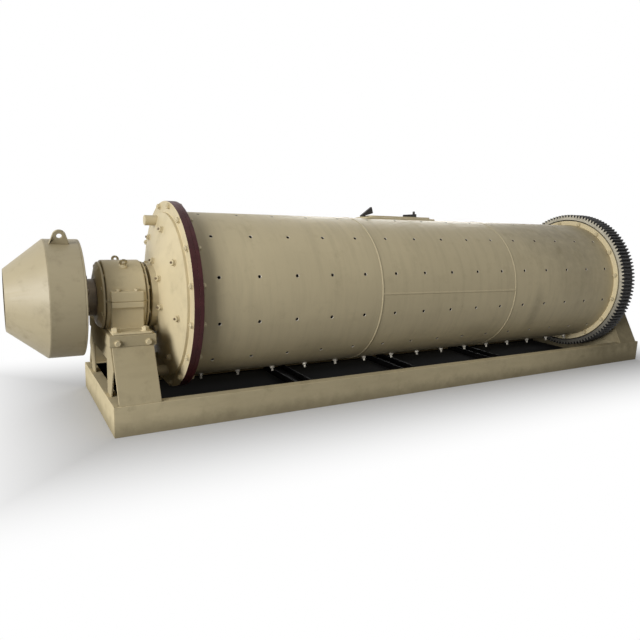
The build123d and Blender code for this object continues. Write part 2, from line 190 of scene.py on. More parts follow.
class MillColours(bpy.types.PropertyGroup):
    """Colours of the mill's finishes."""

    cream: FloatVectorProperty(
        name="Cream",
        description="Enamel on the mill",
        default=linear(203, 189, 154),
        subtype="COLOR",
        min=0,
        max=1,
    )
    dust: FloatVectorProperty(
        name="Dust",
        description="Grey dust on the enamel",
        default=linear(120, 110, 87),
        subtype="COLOR",
        min=0,
        max=1,
    )
    grime: FloatVectorProperty(
        name="Grime",
        description="Oily dirt",
        default=linear(74, 64, 48),
        subtype="COLOR",
        min=0,
        max=1,
    )
    primer: FloatVectorProperty(
        name="Primer",
        description="Maroon primer",
        default=linear(68, 32, 33),
        subtype="COLOR",
        min=0,
        max=1,
    )
    tooth_face: FloatVectorProperty(
        name="Tooth face",
        description="Dry ends of the teeth",
        default=linear(192, 186, 168),
        subtype="COLOR",
        min=0,
        max=1,
    )
    grease: FloatVectorProperty(
        name="Grease",
        description="Greased flanks",
        default=linear(44, 43, 42),
        subtype="COLOR",
        min=0,
        max=1,
    )
    steel: FloatVectorProperty(
        name="Steel",
        description="Oiled bare steel",
        default=linear(104, 90, 70),
        subtype="COLOR",
        min=0,
        max=1,
    )
    dark_steel: FloatVectorProperty(
        name="Dark steel",
        description="Black clamps",
        default=linear(33, 31, 33),
        subtype="COLOR",
        min=0,
        max=1,
    )
    inside: FloatVectorProperty(
        name="Inside",
        description="Bare plate inside the shell",
        default=linear(60, 52, 46),
        subtype="COLOR",
        min=0,
        max=1,
    )
    bolt: FloatVectorProperty(
        name="Liner bolt",
        description="Pale liner bolts",
        default=linear(196, 190, 176),
        subtype="COLOR",
        min=0,
        max=1,
    )
    floor: FloatVectorProperty(
        name="Floor",
        description="Studio floor",
        default=(0.62, 0.62, 0.62),
        subtype="COLOR",
        min=0,
        max=1,
    )


def sizes():
    """Sizes kept on the scene."""
    return bpy.context.scene.mill_sizes


def colours():
    """Colours kept on the scene."""
    return bpy.context.scene.mill_colours


class Wire:
    """A shader value that can be used in sums."""

    def __init__(self, finish, socket):
        self.finish = finish
        self.socket = socket

    def _sum(self, operation, first, second):
        return self.finish.node("ShaderNodeMath", {"operation": operation}, {0: first, 1: second})

    def __add__(self, other):
        return self._sum("ADD", self, other)

    def __radd__(self, other):
        return self._sum("ADD", other, self)

    def __sub__(self, other):
        return self._sum("SUBTRACT", self, other)

    def __rsub__(self, other):
        return self._sum("SUBTRACT", other, self)

    def __mul__(self, other):
        return self._sum("MULTIPLY", self, other)

    def __rmul__(self, other):
        return self._sum("MULTIPLY", other, self)


class Nodes:
    """A node tree being put together."""

    def __init__(self, tree):
        self.tree = tree

    def node(self, kind, settings=None, sockets=None, output=0):
        """Adds a node with its settings and socket values, and gives one of its outputs."""
        made = self.tree.nodes.new(kind)
        for key, value in (settings or {}).items():
            setattr(made, key, value)
        for key, value in (sockets or {}).items():
            self.join(made.inputs[key], value)
        return Wire(self, made.outputs[output])

    def join(self, socket, value):
        """Links a wire to a socket, or sets the socket's own value."""
        if isinstance(value, Wire):
            self.tree.links.new(value.socket, socket)
        elif socket.type == "RGBA" and len(value) == 3:
            socket.default_value = (*value, 1)
        else:
            socket.default_value = value

    def seen(self):
        """1 for what the camera sees, directly, reflected or through glass, and 0 for lighting."""
        kinds = ("Camera", "Glossy", "Transmission")
        rays = [self.node("ShaderNodeLightPath", output=f"Is {kind} Ray") for kind in kinds]
        return self.node("ShaderNodeMath", {"use_clamp": True}, {0: rays[0], 1: rays[1] + rays[2]})


class Finish(Nodes):
    """A material built from nodes around one Principled shader."""

    def __init__(self, name):
        self.material = bpy.data.materials.new(name)
        self.material.use_nodes = True
        super().__init__(self.material.node_tree)
        self.shader = self.tree.nodes["Principled BSDF"]
        self.place = self.node("ShaderNodeTexCoord", output="Object")

    def shade(self, **sockets):
        """Feeds the shader, with underscores for the spaces in a socket's name."""
        for key, value in sockets.items():
            self.join(self.shader.inputs[key.replace("_", " ")], value)

    def stretched(self, scale):
        """Object coordinates stretched along their axes."""
        return self.node("ShaderNodeMapping", {}, {"Vector": self.place, "Scale": scale})

    def noise(self, scale, detail=4.0, rough=0.55, where=None):
        """Soft noise between 0 and 1."""
        return self.node(
            "ShaderNodeTexNoise",
            {"noise_dimensions": "3D"},
            {"Vector": where or self.place, "Scale": scale, "Detail": detail, "Roughness": rough},
        )

    def band(self, value, low, high):
        """Eases a value from 0 at low to 1 at high."""
        return self.node(
            "ShaderNodeMapRange",
            {"interpolation_type": "SMOOTHSTEP"},
            {"Value": value, "From Min": low, "From Max": high, "To Min": 0.0, "To Max": 1.0},
        )

    def blend(self, factor, first, second):
        """Mixes two colours."""
        return self.node("ShaderNodeMix", {"data_type": "RGBA"}, {0: factor, 6: first, 7: second}, output=2)

    def along(self, axis):
        """One object coordinate."""
        return self.node("ShaderNodeSeparateXYZ", {}, {0: self.place}, output=axis)

    def smear(self, centre, length, girth):
        """1 at a place, easing to 0 at a half length along the mill and a half girth across it."""
        scale = Vector((1 / length, 1 / girth, 1 / girth))
        shift = tuple(-a * b for a, b in zip(centre, scale))
        sockets = {"Vector": self.place, "Location": shift, "Scale": scale}
        spread = self.node("ShaderNodeMapping", {}, sockets)
        away = self.node("ShaderNodeVectorMath", {"operation": "LENGTH"}, {0: spread}, output="Value")
        return 1 - self.band(away, 0.1, 1.0)

    def relief(self, height, strength, distance):
        """Bump from a height."""
        sockets = {"Strength": strength, "Distance": distance, "Height": height}
        self.shade(Normal=self.node("ShaderNodeBump", {}, sockets, output="Normal"))


def tinted(colour, factor):
    """A colour made lighter or darker."""
    return tuple(min(1.0, value * factor) for value in colour)


def enamel(name, grain=(1, 1, 1), dusty=0.25, dirty=0.2, film=0.0, stains_and_shade=(), ground=0.0, gloss=0.22):
    """Satin cream enamel with roller marks, dust, scuffs, darkened smeared patches (stain marks, and painted
    shade where a finish lists it) and dirt near the ground.
    """
    finish = Finish(name)
    cream, dust, grime = colours().cream, colours().dust, colours().grime
    cloud = finish.band(finish.noise(0.8, 3.0), 0.36, 0.64)
    cream = [clean * (1 - film) + dull * film for clean, dull in zip(cream, dust)]
    tone = finish.blend(cloud, tinted(cream, 0.93), tinted(cream, 1.05))
    rolled = finish.noise(3.2, 5.0, 0.6, finish.stretched(grain))
    tone = finish.blend(finish.band(rolled, 0.42, 0.70) * 0.16, tone, tinted(dust, 1.4))
    settled = finish.band(finish.noise(6.5, 8.0, 0.68), 0.50, 0.78)
    tone = finish.blend(settled * dusty, tone, dust)
    scuffed = finish.band(finish.noise(38.0, 6.0, 0.7), 0.66, 0.74)
    tone = finish.blend(scuffed * dirty, tone, grime)
    rub = finish.noise(11.0, 6.0, 0.65)
    # Each patch darkens the tone towards dust; on the shell one of them is painted shade.
    for centre, length, girth, weight in stains_and_shade:
        patch = finish.smear(centre, length, girth) * (0.55 + 0.9 * (rub - 0.5))
        tone = finish.blend(patch * weight, tone, tinted(dust, 0.8))
    if ground:
        low = 1 - finish.band(finish.along("Z") + (rub - 0.5) * 0.10, 0.0, 0.13)
        tone = finish.blend(low * ground, tone, tinted(dust, 0.75))
    peel = finish.noise(170.0, 3.0)
    finish.shade(Base_Color=tone, Roughness=0.46 + settled * 0.22 - scuffed * 0.08)
    finish.shader.inputs["Specular IOR Level"].default_value = gloss
    finish.relief(peel + rolled * 0.8, 0.16, 0.0012)
    return finish.material


def primer(name):
    """Maroon primer with a slight sheen, worn paler in patches."""
    finish = Finish(name)
    colour = colours().primer
    cloud = finish.band(finish.noise(9.0, 7.0, 0.65), 0.36, 0.66)
    tone = finish.blend(cloud, tinted(colour, 0.72), tinted(colour, 1.18))
    bare = finish.band(finish.noise(34.0, 6.0, 0.7), 0.62, 0.70)
    tone = finish.blend(bare * 0.14, tone, colours().dust)
    finish.shade(Base_Color=tone, Roughness=0.5 - cloud * 0.08)
    finish.shader.inputs["Specular IOR Level"].default_value = 0.2
    finish.relief(finish.noise(120.0, 4.0), 0.2, 0.001)
    return finish.material


def bare_metal(name, colour, metallic, roughness, grain=(1, 1, 1)):
    """Oiled, brushed or cast steel with darker smears."""
    finish = Finish(name)
    brushed = finish.noise(14.0, 7.0, 0.7, finish.stretched(grain))
    smear = finish.band(finish.noise(4.5, 6.0, 0.65), 0.42, 0.68)
    tone = finish.blend(finish.band(brushed, 0.3, 0.7), tinted(colour, 0.8), tinted(colour, 1.2))
    tone = finish.blend(smear * 0.5, tone, tinted(colours().grime, 0.7))
    finish.shade(Base_Color=tone, Roughness=roughness + smear * 0.12 - brushed * 0.1)
    finish.shader.inputs["Metallic"].default_value = metallic
    finish.relief(brushed, 0.25, 0.001)
    return finish.material


def grease(name, depth=1.0, sheen=0.3):
    """Black grease, thick in places, on the gear's flanks; made darker and dull, it is also painted shade on
    the base's inner faces and ties.
    """
    finish = Finish(name)
    colour = colours().grease
    thick = finish.band(finish.noise(22.0, 6.0, 0.65), 0.35, 0.68)
    tone = finish.blend(thick, tinted(colour, 0.45 * depth), tinted(colour, 1.5 * depth))
    finish.shade(Base_Color=tone, Roughness=0.46 + thick * 0.2)
    finish.shader.inputs["Specular IOR Level"].default_value = sheen
    finish.relief(thick, 0.5, 0.002)
    return finish.material


def tooth_face(name):
    """Dry, dusty ends of the teeth with grease creeping in from the roots, and painted shade darkening them
    towards the bottom.
    """
    finish = Finish(name)
    creep = finish.band(finish.noise(26.0, 7.0, 0.68), 0.50, 0.74)
    cloud = finish.band(finish.noise(5.0, 5.0), 0.36, 0.64)
    tone = finish.blend(cloud, tinted(colours().tooth_face, 0.84), tinted(colours().tooth_face, 1.08))
    tone = finish.blend(creep * 0.55, tone, tinted(colours().grease, 1.6))
    # Painted shade: the tooth ends darken towards the bottom of the gear as if in shadow.
    painted_shade_low = 1 - finish.band(finish.along("Z") + (creep - 0.5) * 0.12, 0.16, 0.92)
    tone = finish.blend(painted_shade_low * 0.85, tone, tinted(colours().grease, 1.6))
    finish.shade(Base_Color=tone, Roughness=0.52 - creep * 0.12)
    finish.relief(creep, 0.3, 0.0015)
    return finish.material


def shell_enamel(name):
    """Enamel on the drum, with marks that run round it, a few rubbed stain marks, and painted shade darkening
    the upper shell towards the discharge end.
    """
    stains_and_shade = (
        (on_drum(1.10, SHELL_RADIUS, math.radians(-18)), 0.10, 0.34, 0.55),
        # Painted shade: this broad darkened patch over the upper shell towards the discharge end stands for
        # light falling off there.
        (on_drum(1.75, SHELL_RADIUS, math.radians(68)), 1.75, 0.95, 0.85),
        (on_drum(1.75, SHELL_RADIUS, math.radians(8)), 0.45, 0.55, 0.30),
        (on_drum(0.42, SHELL_RADIUS, math.radians(-36)), 0.30, 0.16, 0.30),
        (on_drum(-1.20, SHELL_RADIUS, math.radians(-38)), 0.35, 0.14, 0.25),
        (on_drum(-0.60, SHELL_RADIUS, math.radians(200)), 0.12, 0.40, 0.40),
        (on_drum(1.40, SHELL_RADIUS, math.radians(160)), 0.20, 0.35, 0.40),
    )
    return enamel(name, grain=(4.5, 0.5, 0.5), dusty=0.2, dirty=0.16, stains_and_shade=stains_and_shade)


def base_enamel(name, film):
    """Dusty enamel on the base and pedestals, darker towards the gear end, and dulled near the ground by
    dirt.
    """
    # Two soft patches make the base and pedestal darker towards the gear end.
    darker_near_gear = (((2.45, -0.35, 0.25), 1.55, 1.1, 1.0), ((2.60, 0.45, 0.25), 1.2, 0.8, 0.8))
    marks = {"dusty": 0.32, "dirty": 0.28, "stains_and_shade": darker_near_gear, "ground": 0.55}
    return enamel(name, (1, 1, 3), film=film, gloss=0, **marks)


def feeder_enamel(name):
    """Duller, smoother enamel on the feeder, with a sheen."""
    return enamel(name, (0.6, 2, 2), dusty=0.5, dirty=0.09, film=0.5, gloss=0.5)


COATS = {
    "cream_enamel": lambda name: enamel(name),
    "shell_enamel": shell_enamel,
    "base_enamel": lambda name: base_enamel(name, film=0.06),
    "pedestal_enamel": lambda name: base_enamel(name, film=0.42),
    # Painted shade: near-black finish for the base's inner faces and ties, which sit in shade under the drum.
    "painted_shade_grease": lambda name: grease(name, depth=0.4, sheen=0.04),
    # Painted light: a lighter copy of the cream enamel.
    "painted_highlight_enamel": lambda name: enamel(name, dusty=0.1, dirty=0.1, film=-0.25),
    "feeder_enamel": feeder_enamel,
    "maroon_coat": primer,
    "dry_tooth_face": tooth_face,
    "black_grease_and_gap_shade": grease,
    "oiled_trunnion": lambda name: bare_metal(name, colours().steel, 0.45, 0.42, (6, 0.4, 0.4)),
    "rusty_stud": lambda name: bare_metal(name, tinted(colours().steel, 1.3), 0.1, 0.6),
    "black_clamp": lambda name: bare_metal(name, colours().dark_steel, 0.3, 0.55),
    "bare_inside_and_hole_shade": lambda name: bare_metal(name, colours().inside, 0.4, 0.6),
    "zinc_and_rim_highlight": lambda name: bare_metal(name, colours().bolt, 0.25, 0.5),
}


def coat(name):
    """A named finish, made the first time it is asked for."""
    return bpy.data.materials.get(name) or COATS[name](name)


def softened(node, width, segments=2):
    """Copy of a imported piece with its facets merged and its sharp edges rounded."""
    bm = bmesh.new()
    bm.from_mesh(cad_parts[node].data)
    bmesh.ops.remove_doubles(bm, verts=bm.verts, dist=1e-5)
    bmesh.ops.dissolve_limit(bm, angle_limit=math.radians(0.6), verts=bm.verts, edges=bm.edges)
    round_off(bm, width, segments)
    return bm


def round_off(bm, width, segments):
    """Bevels every edge sharper than a facet's."""
    sharp = [e for e in bm.edges if len(e.link_faces) == 2 and e.calc_face_angle() > math.radians(28)]
    bmesh.ops.bevel(
        bm,
        geom=sharp,
        offset=width,
        offset_type="OFFSET",
        segments=segments,
        profile=0.5,
        affect="EDGES",
        clamp_overlap=False,
        material=-1,
    )


def spun(bm, profile, steps):
    """Turns (radius, height) points about Z into the mesh."""
    points = [bm.verts.new((radius, 0, height)) for radius, height in profile]
    edges = [bm.edges.new(pair) for pair in zip(points, points[1:])]
    bmesh.ops.spin(
        bm,
        geom=points + edges,
        cent=(0, 0, 0),
        axis=(0, 0, 1),
        angle=2 * math.pi,
        steps=steps,
        use_merge=True,
        use_duplicate=False,
    )


def settle(bm):
    """Merges doubled points and turns the faces outward."""
    bmesh.ops.remove_doubles(bm, verts=bm.verts, dist=1e-6)
    bmesh.ops.recalc_face_normals(bm, faces=bm.faces)


def stamped(template, places):
    """Mesh with a small piece repeated at many places."""
    pattern = bpy.data.meshes.new("pattern")
    template.to_mesh(pattern)
    template.free()
    bm = bmesh.new()
    for place in places:
        before = len(bm.verts)
        bm.from_mesh(pattern)
        bm.verts.ensure_lookup_table()
        bmesh.ops.transform(bm, matrix=place, verts=bm.verts[before:])
    bpy.data.meshes.remove(pattern)
    return bm


def hex_bolt(flats, head, washer=0.004, stud_radius=0.0, stud=0.0):
    """Six-sided head or nut on a washer, with the end of its stud, in a second finish, where it has one."""
    bm = bmesh.new()
    corner = flats / math.sqrt(3)
    if washer:
        rim = flats * 0.68
        spun(bm, [(0, 0), (rim, 0), (rim, washer), (corner * 0.6, washer)], 14)
    top = washer + head
    spun(bm, [(corner, washer * 0.5), (corner, top - head * 0.18), (corner * 0.88, top), (0, top)], 6)
    if stud:
        nut = len(bm.faces)
        end = top + stud
        tip = stud_radius * 0.8
        spun(bm, [(stud_radius, top - head * 0.2), (stud_radius, end - 0.003), (tip, end), (0, end)], 10)
        bm.faces.ensure_lookup_table()
        for face in bm.faces[nut:]:
            face.material_index = 1
    settle(bm)
    return bm


def half_round(width, rise):
    """Section of a weld bead as (offset, height) points, its ends just under the surface."""
    steps = [math.pi * i / 6 for i in range(7)]
    return [(-width / 2 * math.cos(a), rise * math.sin(a) - 0.0006) for a in steps]


def piece(name, bm, body, finishes, replaces=(), smooth=12.0):
    """Makes a finished object from a mesh and sets it on a body."""
    mesh = bpy.data.meshes.new(name)
    bm.to_mesh(mesh)
    bm.free()
    for finish in finishes:
        mesh.materials.append(coat(finish))
    mesh.shade_smooth()
    mesh.set_sharp_from_angle(angle=math.radians(smooth))
    made = bpy.data.objects.new(name, mesh)
    bpy.context.scene.collection.objects.link(made)
    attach(made, body)
    if replaces:
        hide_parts(*replaces)


def rounded_node(node, body, finish, width):
    """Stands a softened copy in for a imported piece."""
    piece(f"{node}_finished", softened(node, width), body, [finish], [node])


def fasteners(name, bm, body, finishes):
    """Sets a mesh of bolts or screws on a body."""
    piece(name, bm, body, finishes, smooth=BOLT_SMOOTH)


def paint_faces(bm, test, index):
    """Gives another finish to the faces that pass a test of their middle and direction."""
    bm.normal_update()
    for face in bm.faces:
        if test(face.calc_center_median(), face.normal):
            face.material_index = index


def radius_of(point):
    """Distance of a point from the mill axis."""
    return math.hypot(point.y, point.z - AXIS_HEIGHT)


def slope_of(point, normal):
    """1 for a face at a point that looks straight away from the mill axis, less for one that leans."""
    return normal.dot((point - Vector((point.x, 0, AXIS_HEIGHT))).normalized())


class MILL_OT_base(bpy.types.Operator):
    """Finish the channel base: side beams, end beams, cross beams and ties"""

    bl_idname = "mill.base"
    bl_label = "Base"

    def execute(self, context):
        edge = sizes().plate_edge
        for node in ["base_cross_beams"] + [f"base_end_beam_{end}" for end in ENDS]:
            rounded_node(node, "frame", "base_enamel", edge)
        for face, hand in SIDES.items():
            node = f"base_side_beam_{face}"
            beam = softened(node, edge)
            # Painted shade: the side beams' inward faces take the near-black painted-shade finish.
            paint_faces(beam, lambda middle, normal: normal.y * hand < -0.5, 1)
            finishes = ["base_enamel", "painted_shade_grease"]
            piece(f"{node}_finished", beam, "frame", finishes, [node])
        # Painted shade: the ties take the near-black painted-shade finish so they sit dark under the drum.
        rounded_node("base_ties", "frame", "painted_shade_grease", edge)
        return {"FINISHED"}


class MILL_OT_pedestals(bpy.types.Operator):
    """Finish both pedestals: caps, end plates, sloping plates and the caps' side bolts"""

    bl_idname = "mill.pedestals"
    bl_label = "Pedestals"

    def execute(self, context):
        edge = sizes().plate_edge
        for end, side in ENDS.items():
            rounded_node(f"{end}_pedestal_cap", "frame", "pedestal_enamel", edge * 1.6)
            for face in ("front", "rear", "outer", "inner"):
                rounded_node(f"{end}_pedestal_{face}_plate", "frame", "pedestal_enamel", edge)
            places = []
            for along in (-CAP_BOLT_ALONG, CAP_BOLT_ALONG):
                for across in (-1, 1):
                    point = (reach(side, BEARING_REACH) + along, across * CAP_FRONT, CAP_MIDDLE)
                    places.append(facing(point, (0, across, 0), 0.2 + along))
            bolts = stamped(hex_bolt(0.034, 0.014), places)
            fasteners(f"{end}_pedestal_cap_bolts", bolts, "frame", ["cream_enamel"])
        return {"FINISHED"}


class MILL_OT_bearings(bpy.types.Operator):
    """Finish both trunnion bearings: housings, covers, eye bolts and holding-down bolts"""

    bl_idname = "mill.bearings"
    bl_label = "Trunnion Bearings"

    def eye_bolts(self, end, centre):
        """Forged eye bolts with round rings."""
        bm = bmesh.new()
        collar = [(0, -0.004), (0.028, -0.004), (0.028, 0.006), (0.018, 0.012), (0.010, 0.016), (0, 0.016)]
        spun(bm, collar, 24)
        middle = (EYE_RADIUS, 0, EYE_HEIGHT)
        place = Matrix.Translation(middle)
        section = bmesh.ops.create_circle(bm, segments=12, radius=EYE_STOCK, matrix=place)["verts"]
        bmesh.ops.rotate(bm, verts=section, cent=middle, matrix=Matrix.Rotation(math.pi / 2, 3, "X"))
        loops = {edge for vert in section for edge in vert.link_edges}
        bmesh.ops.spin(
            bm,
            geom=section + list(loops),
            cent=(0, 0, EYE_HEIGHT),
            axis=(0, 1, 0),
            angle=2 * math.pi,
            steps=28,
            use_merge=True,
            use_duplicate=False,
        )
        settle(bm)
        angles = [math.radians(60), math.radians(120)]
        places = [facing(on_drum(centre, BARREL_RADIUS, a), outward(a)) for a in angles]
        node = f"{end}_bearing_eye_bolts"
        # Painted light: the eye bolts take the lighter copy of the cream enamel.
        piece(f"{node}_forged", stamped(bm, places), "frame", ["painted_highlight_enamel"], [node], 40)

    def execute(self, context):
        for end, side in ENDS.items():
            centre = reach(side, BEARING_REACH)
            for half in ("lower", "upper"):
                rounded_node(f"{end}_bearing_housing_{half}", "frame", "cream_enamel", sizes().cast_edge)
            for face in ("outer", "inner"):
                rounded_node(f"{end}_bearing_cover_{face}", "frame", "cream_enamel", sizes().turned_edge)
            self.eye_bolts(end, centre)

            cover_places = []
            for hand in (-1, 1):
                face = centre + hand * (BARREL_HALF + COVER_SLIT + COVER_RIM)
                for step in range(6):
                    angle = math.radians(-22.5 + 45 * step)
                    cover_places.append(facing(on_drum(face, COVER_BOLT_RADIUS, angle), (hand, 0, 0), angle))
            covers = stamped(hex_bolt(0.024, 0.010, 0.0), cover_places)
            fasteners(f"{end}_bearing_cover_bolts", covers, "frame", ["cream_enamel"])

            screw = bmesh.new()
            spun(screw, [(0.011, -0.001), (0.011, 0.003), (0.008, 0.003), (0.008, COVER_SLIT + 0.001)], 10)
            screw_places = []
            for hand in (-1, 1):
                face = centre + hand * BARREL_HALF
                for step in range(5):
                    point = on_drum(face, COVER_SCREW_RADIUS, math.radians(45 * step))
                    screw_places.append(facing(point, (hand, 0, 0)))
            screws = stamped(screw, screw_places)
            fasteners(f"{end}_bearing_cover_screws", screws, "frame", ["cream_enamel"])

            foot_centre = reach(side, BEARING_REACH + FOOT_BOLT_SHIFT)
            foot_places = [
                facing((foot_centre + along, across, FOOT_TOP), (0, 0, 1), along * 4)
                for along in (-FOOT_BOLT_ALONG, FOOT_BOLT_ALONG)
                for across in (-FOOT_BOLT_ACROSS, FOOT_BOLT_ACROSS)
            ]
            feet = stamped(hex_bolt(0.046, 0.023, 0.005, 0.014, 0.004), foot_places)
            fasteners(f"{end}_bearing_foot_bolts", feet, "frame", ["cream_enamel"] * 2)

            ear_places = [
                facing((centre + along, across, EAR_TOP), (0, 0, 1), along * 5)
                for along in (-EAR_BOLT_ALONG, EAR_BOLT_ALONG)
                for across in (-EAR_BOLT_ACROSS, EAR_BOLT_ACROSS)
            ]
            ears = stamped(hex_bolt(0.030, 0.012, 0.003), ear_places)
            fasteners(f"{end}_bearing_ear_bolts", ears, "frame", ["cream_enamel"])
        return {"FINISHED"}


class MILL_OT_shell(bpy.types.Operator):
    """Build the drilled shell with its weld beads and the liner bolts left in the lowest rows"""

    bl_idname = "mill.shell"
    bl_label = "Shell"

    def columns(self):
        """X of the lines of the shell's sheet, six to each hole."""
        pitch, first, count = sizes().liner_pitch, sizes().liner_start, sizes().liner_count
        lines = []
        for number in range(count):
            hole = first + pitch * number
            left = -SHELL_HALF if number == 0 else hole - pitch / 2
            lines += [left] + [hole + step for step in HOLE_COLUMNS]
        return lines + [SHELL_HALF]

    def rows(self):
        """Angles of the lines of the shell's sheet, eight to each row of holes."""
        pitch = 2 * math.pi / sizes().liner_rows
        lines = []
        for number in range(sizes().liner_rows):
            row = sizes().liner_turn - pitch * number
            lines += [row + pitch * step for step in HOLE_ROWS]
        return lines + [lines[0] - 2 * math.pi]

    def bolted(self, angle):
        """True for the rows that still have their bolts, near the bottom of the drum."""
        return math.sin(angle) < -0.7

    def under_manhole(self, x, angle):
        """True for the places that the manhole takes."""
        turned = math.remainder(angle - MANHOLE_ANGLE, 2 * math.pi)
        return abs(x - MANHOLE_CENTRE) < 0.45 and abs(turned) < math.radians(20)

    def ring(self, bm, rim, centre, radius):
        """Draws a hole's edges in to a circle and gives the new edges."""
        made = bmesh.ops.extrude_edge_only(bm, edges=rim)["geom"]
        fresh = {item for item in made if isinstance(item, bmesh.types.BMVert)}
        for vert in fresh:
            away = Vector((vert.co.x - centre.x, vert.co.y - centre.y, 0))
            vert.co = centre + away.normalized() * radius
        edges = [item for item in made if isinstance(item, bmesh.types.BMEdge)]
        return [edge for edge in edges if fresh.issuperset(edge.verts)]

    def drilled(self):
        """Sheet with round liner holes, wrapped into the shell and given its wall."""
        columns, rows = self.columns(), self.rows()
        bm = bmesh.new()
        bmesh.ops.create_grid(bm, x_segments=len(columns) - 1, y_segments=len(rows) - 1, size=1)
        holes = []
        for vert in bm.verts:
            column = round((vert.co.x + 1) / 2 * (len(columns) - 1))
            row = round((vert.co.y + 1) / 2 * (len(rows) - 1))
            x, angle = columns[column], rows[row]
            vert.co = (x, angle * SHELL_RADIUS, 0)
            middle = column % COLUMN_STEP == HOLE_COLUMN and row % ROW_STEP == HOLE_ROW
            if middle and not self.bolted(angle) and not self.under_manhole(x, angle):
                holes.append(vert)
        radius = sizes().liner_hole / 2
        for middle in holes:
            centre = middle.co.copy()
            inner = {vert for face in middle.link_faces for vert in face.verts}
            around = {face for vert in inner for face in vert.link_faces}
            rim = [edge for face in around for edge in face.edges if inner.isdisjoint(edge.verts)]
            bmesh.ops.delete(bm, geom=list(inner), context="VERTS")
            rim = self.ring(bm, rim, centre, radius)
            self.ring(bm, rim, centre - Vector((0, 0, 0.0022)), radius * 0.84)
        seams = (rows[0] * SHELL_RADIUS, rows[-1] * SHELL_RADIUS)
        on_seam = {v for v in bm.verts if min(abs(v.co.y - seam) for seam in seams) < 1e-6}
        open_edges = [e for e in bm.edges if e.is_boundary and not on_seam.issuperset(e.verts)]
        inward = Vector((0, 0, -SHELL_WALL))
        sheet = bmesh.ops.duplicate(bm, geom=bm.faces[:])["geom"]
        walls = bmesh.ops.extrude_edge_only(bm, edges=open_edges)["geom"]
        moved = [item for item in sheet + walls if isinstance(item, bmesh.types.BMVert)]
        bmesh.ops.translate(bm, verts=moved, vec=inward)
        for vert in bm.verts:
            vert.co = on_drum(vert.co.x, SHELL_RADIUS + vert.co.z, vert.co.y / SHELL_RADIUS)
        settle(bm)
        # Painted highlight: the hole lips take the pale zinc finish so each hole has a bright rim.
        paint_faces(bm, lambda middle, normal: slope_of(middle, normal) < 0.95, 2)
        # The inner sheet is bare plate; the hole walls take the same dark finish, partly as bare cut edges
        # and partly as painted shade inside the holes.
        paint_faces(bm, lambda middle, normal: radius_of(middle) < SHELL_RADIUS - 0.003, 1)
        return bm

    def beads(self):
        """Weld beads round the shell where its courses meet, and one along each course."""
        bm = bmesh.new()
        section = half_round(sizes().bead_width, sizes().bead_rise)
        for joint in COURSE_JOINTS:
            spun(bm, [(SHELL_RADIUS + rise, joint + offset) for offset, rise in section], 160)
        bmesh.ops.transform(bm, matrix=AXLE, verts=bm.verts)
        starts = (-SHELL_HALF + SEAM_INSET, *COURSE_JOINTS)
        ends = (*COURSE_JOINTS, SHELL_HALF - SEAM_INSET)
        for start, end, turn in zip(starts, ends, SEAM_ANGLES):
            middle = math.radians(turn) + SEAM_SLOPE / 2
            points = []
            for offset, rise in section:
                point = on_drum(start, SHELL_RADIUS + rise, middle + offset / SHELL_RADIUS)
                points.append(bm.verts.new(point))
            edges = [bm.edges.new(pair) for pair in zip(points, points[1:])]
            made = bmesh.ops.extrude_edge_only(bm, edges=edges)["geom"]
            moved = [item for item in made if isinstance(item, bmesh.types.BMVert)]
            bmesh.ops.translate(bm, verts=moved, vec=(end - start, 0, 0))
            turn = Matrix.Rotation(SEAM_SLOPE, 3, "X")
            bmesh.ops.rotate(bm, verts=moved, cent=(0, 0, AXIS_HEIGHT), matrix=turn)
        settle(bm)
        return bm

    def execute(self, context):
        courses = [f"shell_course_{course}" for course in ("feed", "middle", "discharge")]
        finishes = ["shell_enamel", "bare_inside_and_hole_shade", "zinc_and_rim_highlight"]
        piece("shell_drilled", self.drilled(), "drum", finishes, courses, 20)
        piece("shell_weld_beads", self.beads(), "drum", ["shell_enamel"], smooth=40)
        places = []
        for angle in self.rows()[HOLE_ROW::ROW_STEP]:
            if self.bolted(angle):
                for x in self.columns()[HOLE_COLUMN::COLUMN_STEP]:
                    point = on_drum(x, SHELL_RADIUS - 0.001, angle)
                    places.append(facing(point, outward(angle), x * 3))
        bolts = stamped(hex_bolt(0.032, 0.014, 0.005, 0.010, 0.022), places)
        fasteners("shell_liner_bolts", bolts, "drum", ["zinc_and_rim_highlight"] * 2)
        return {"FINISHED"}


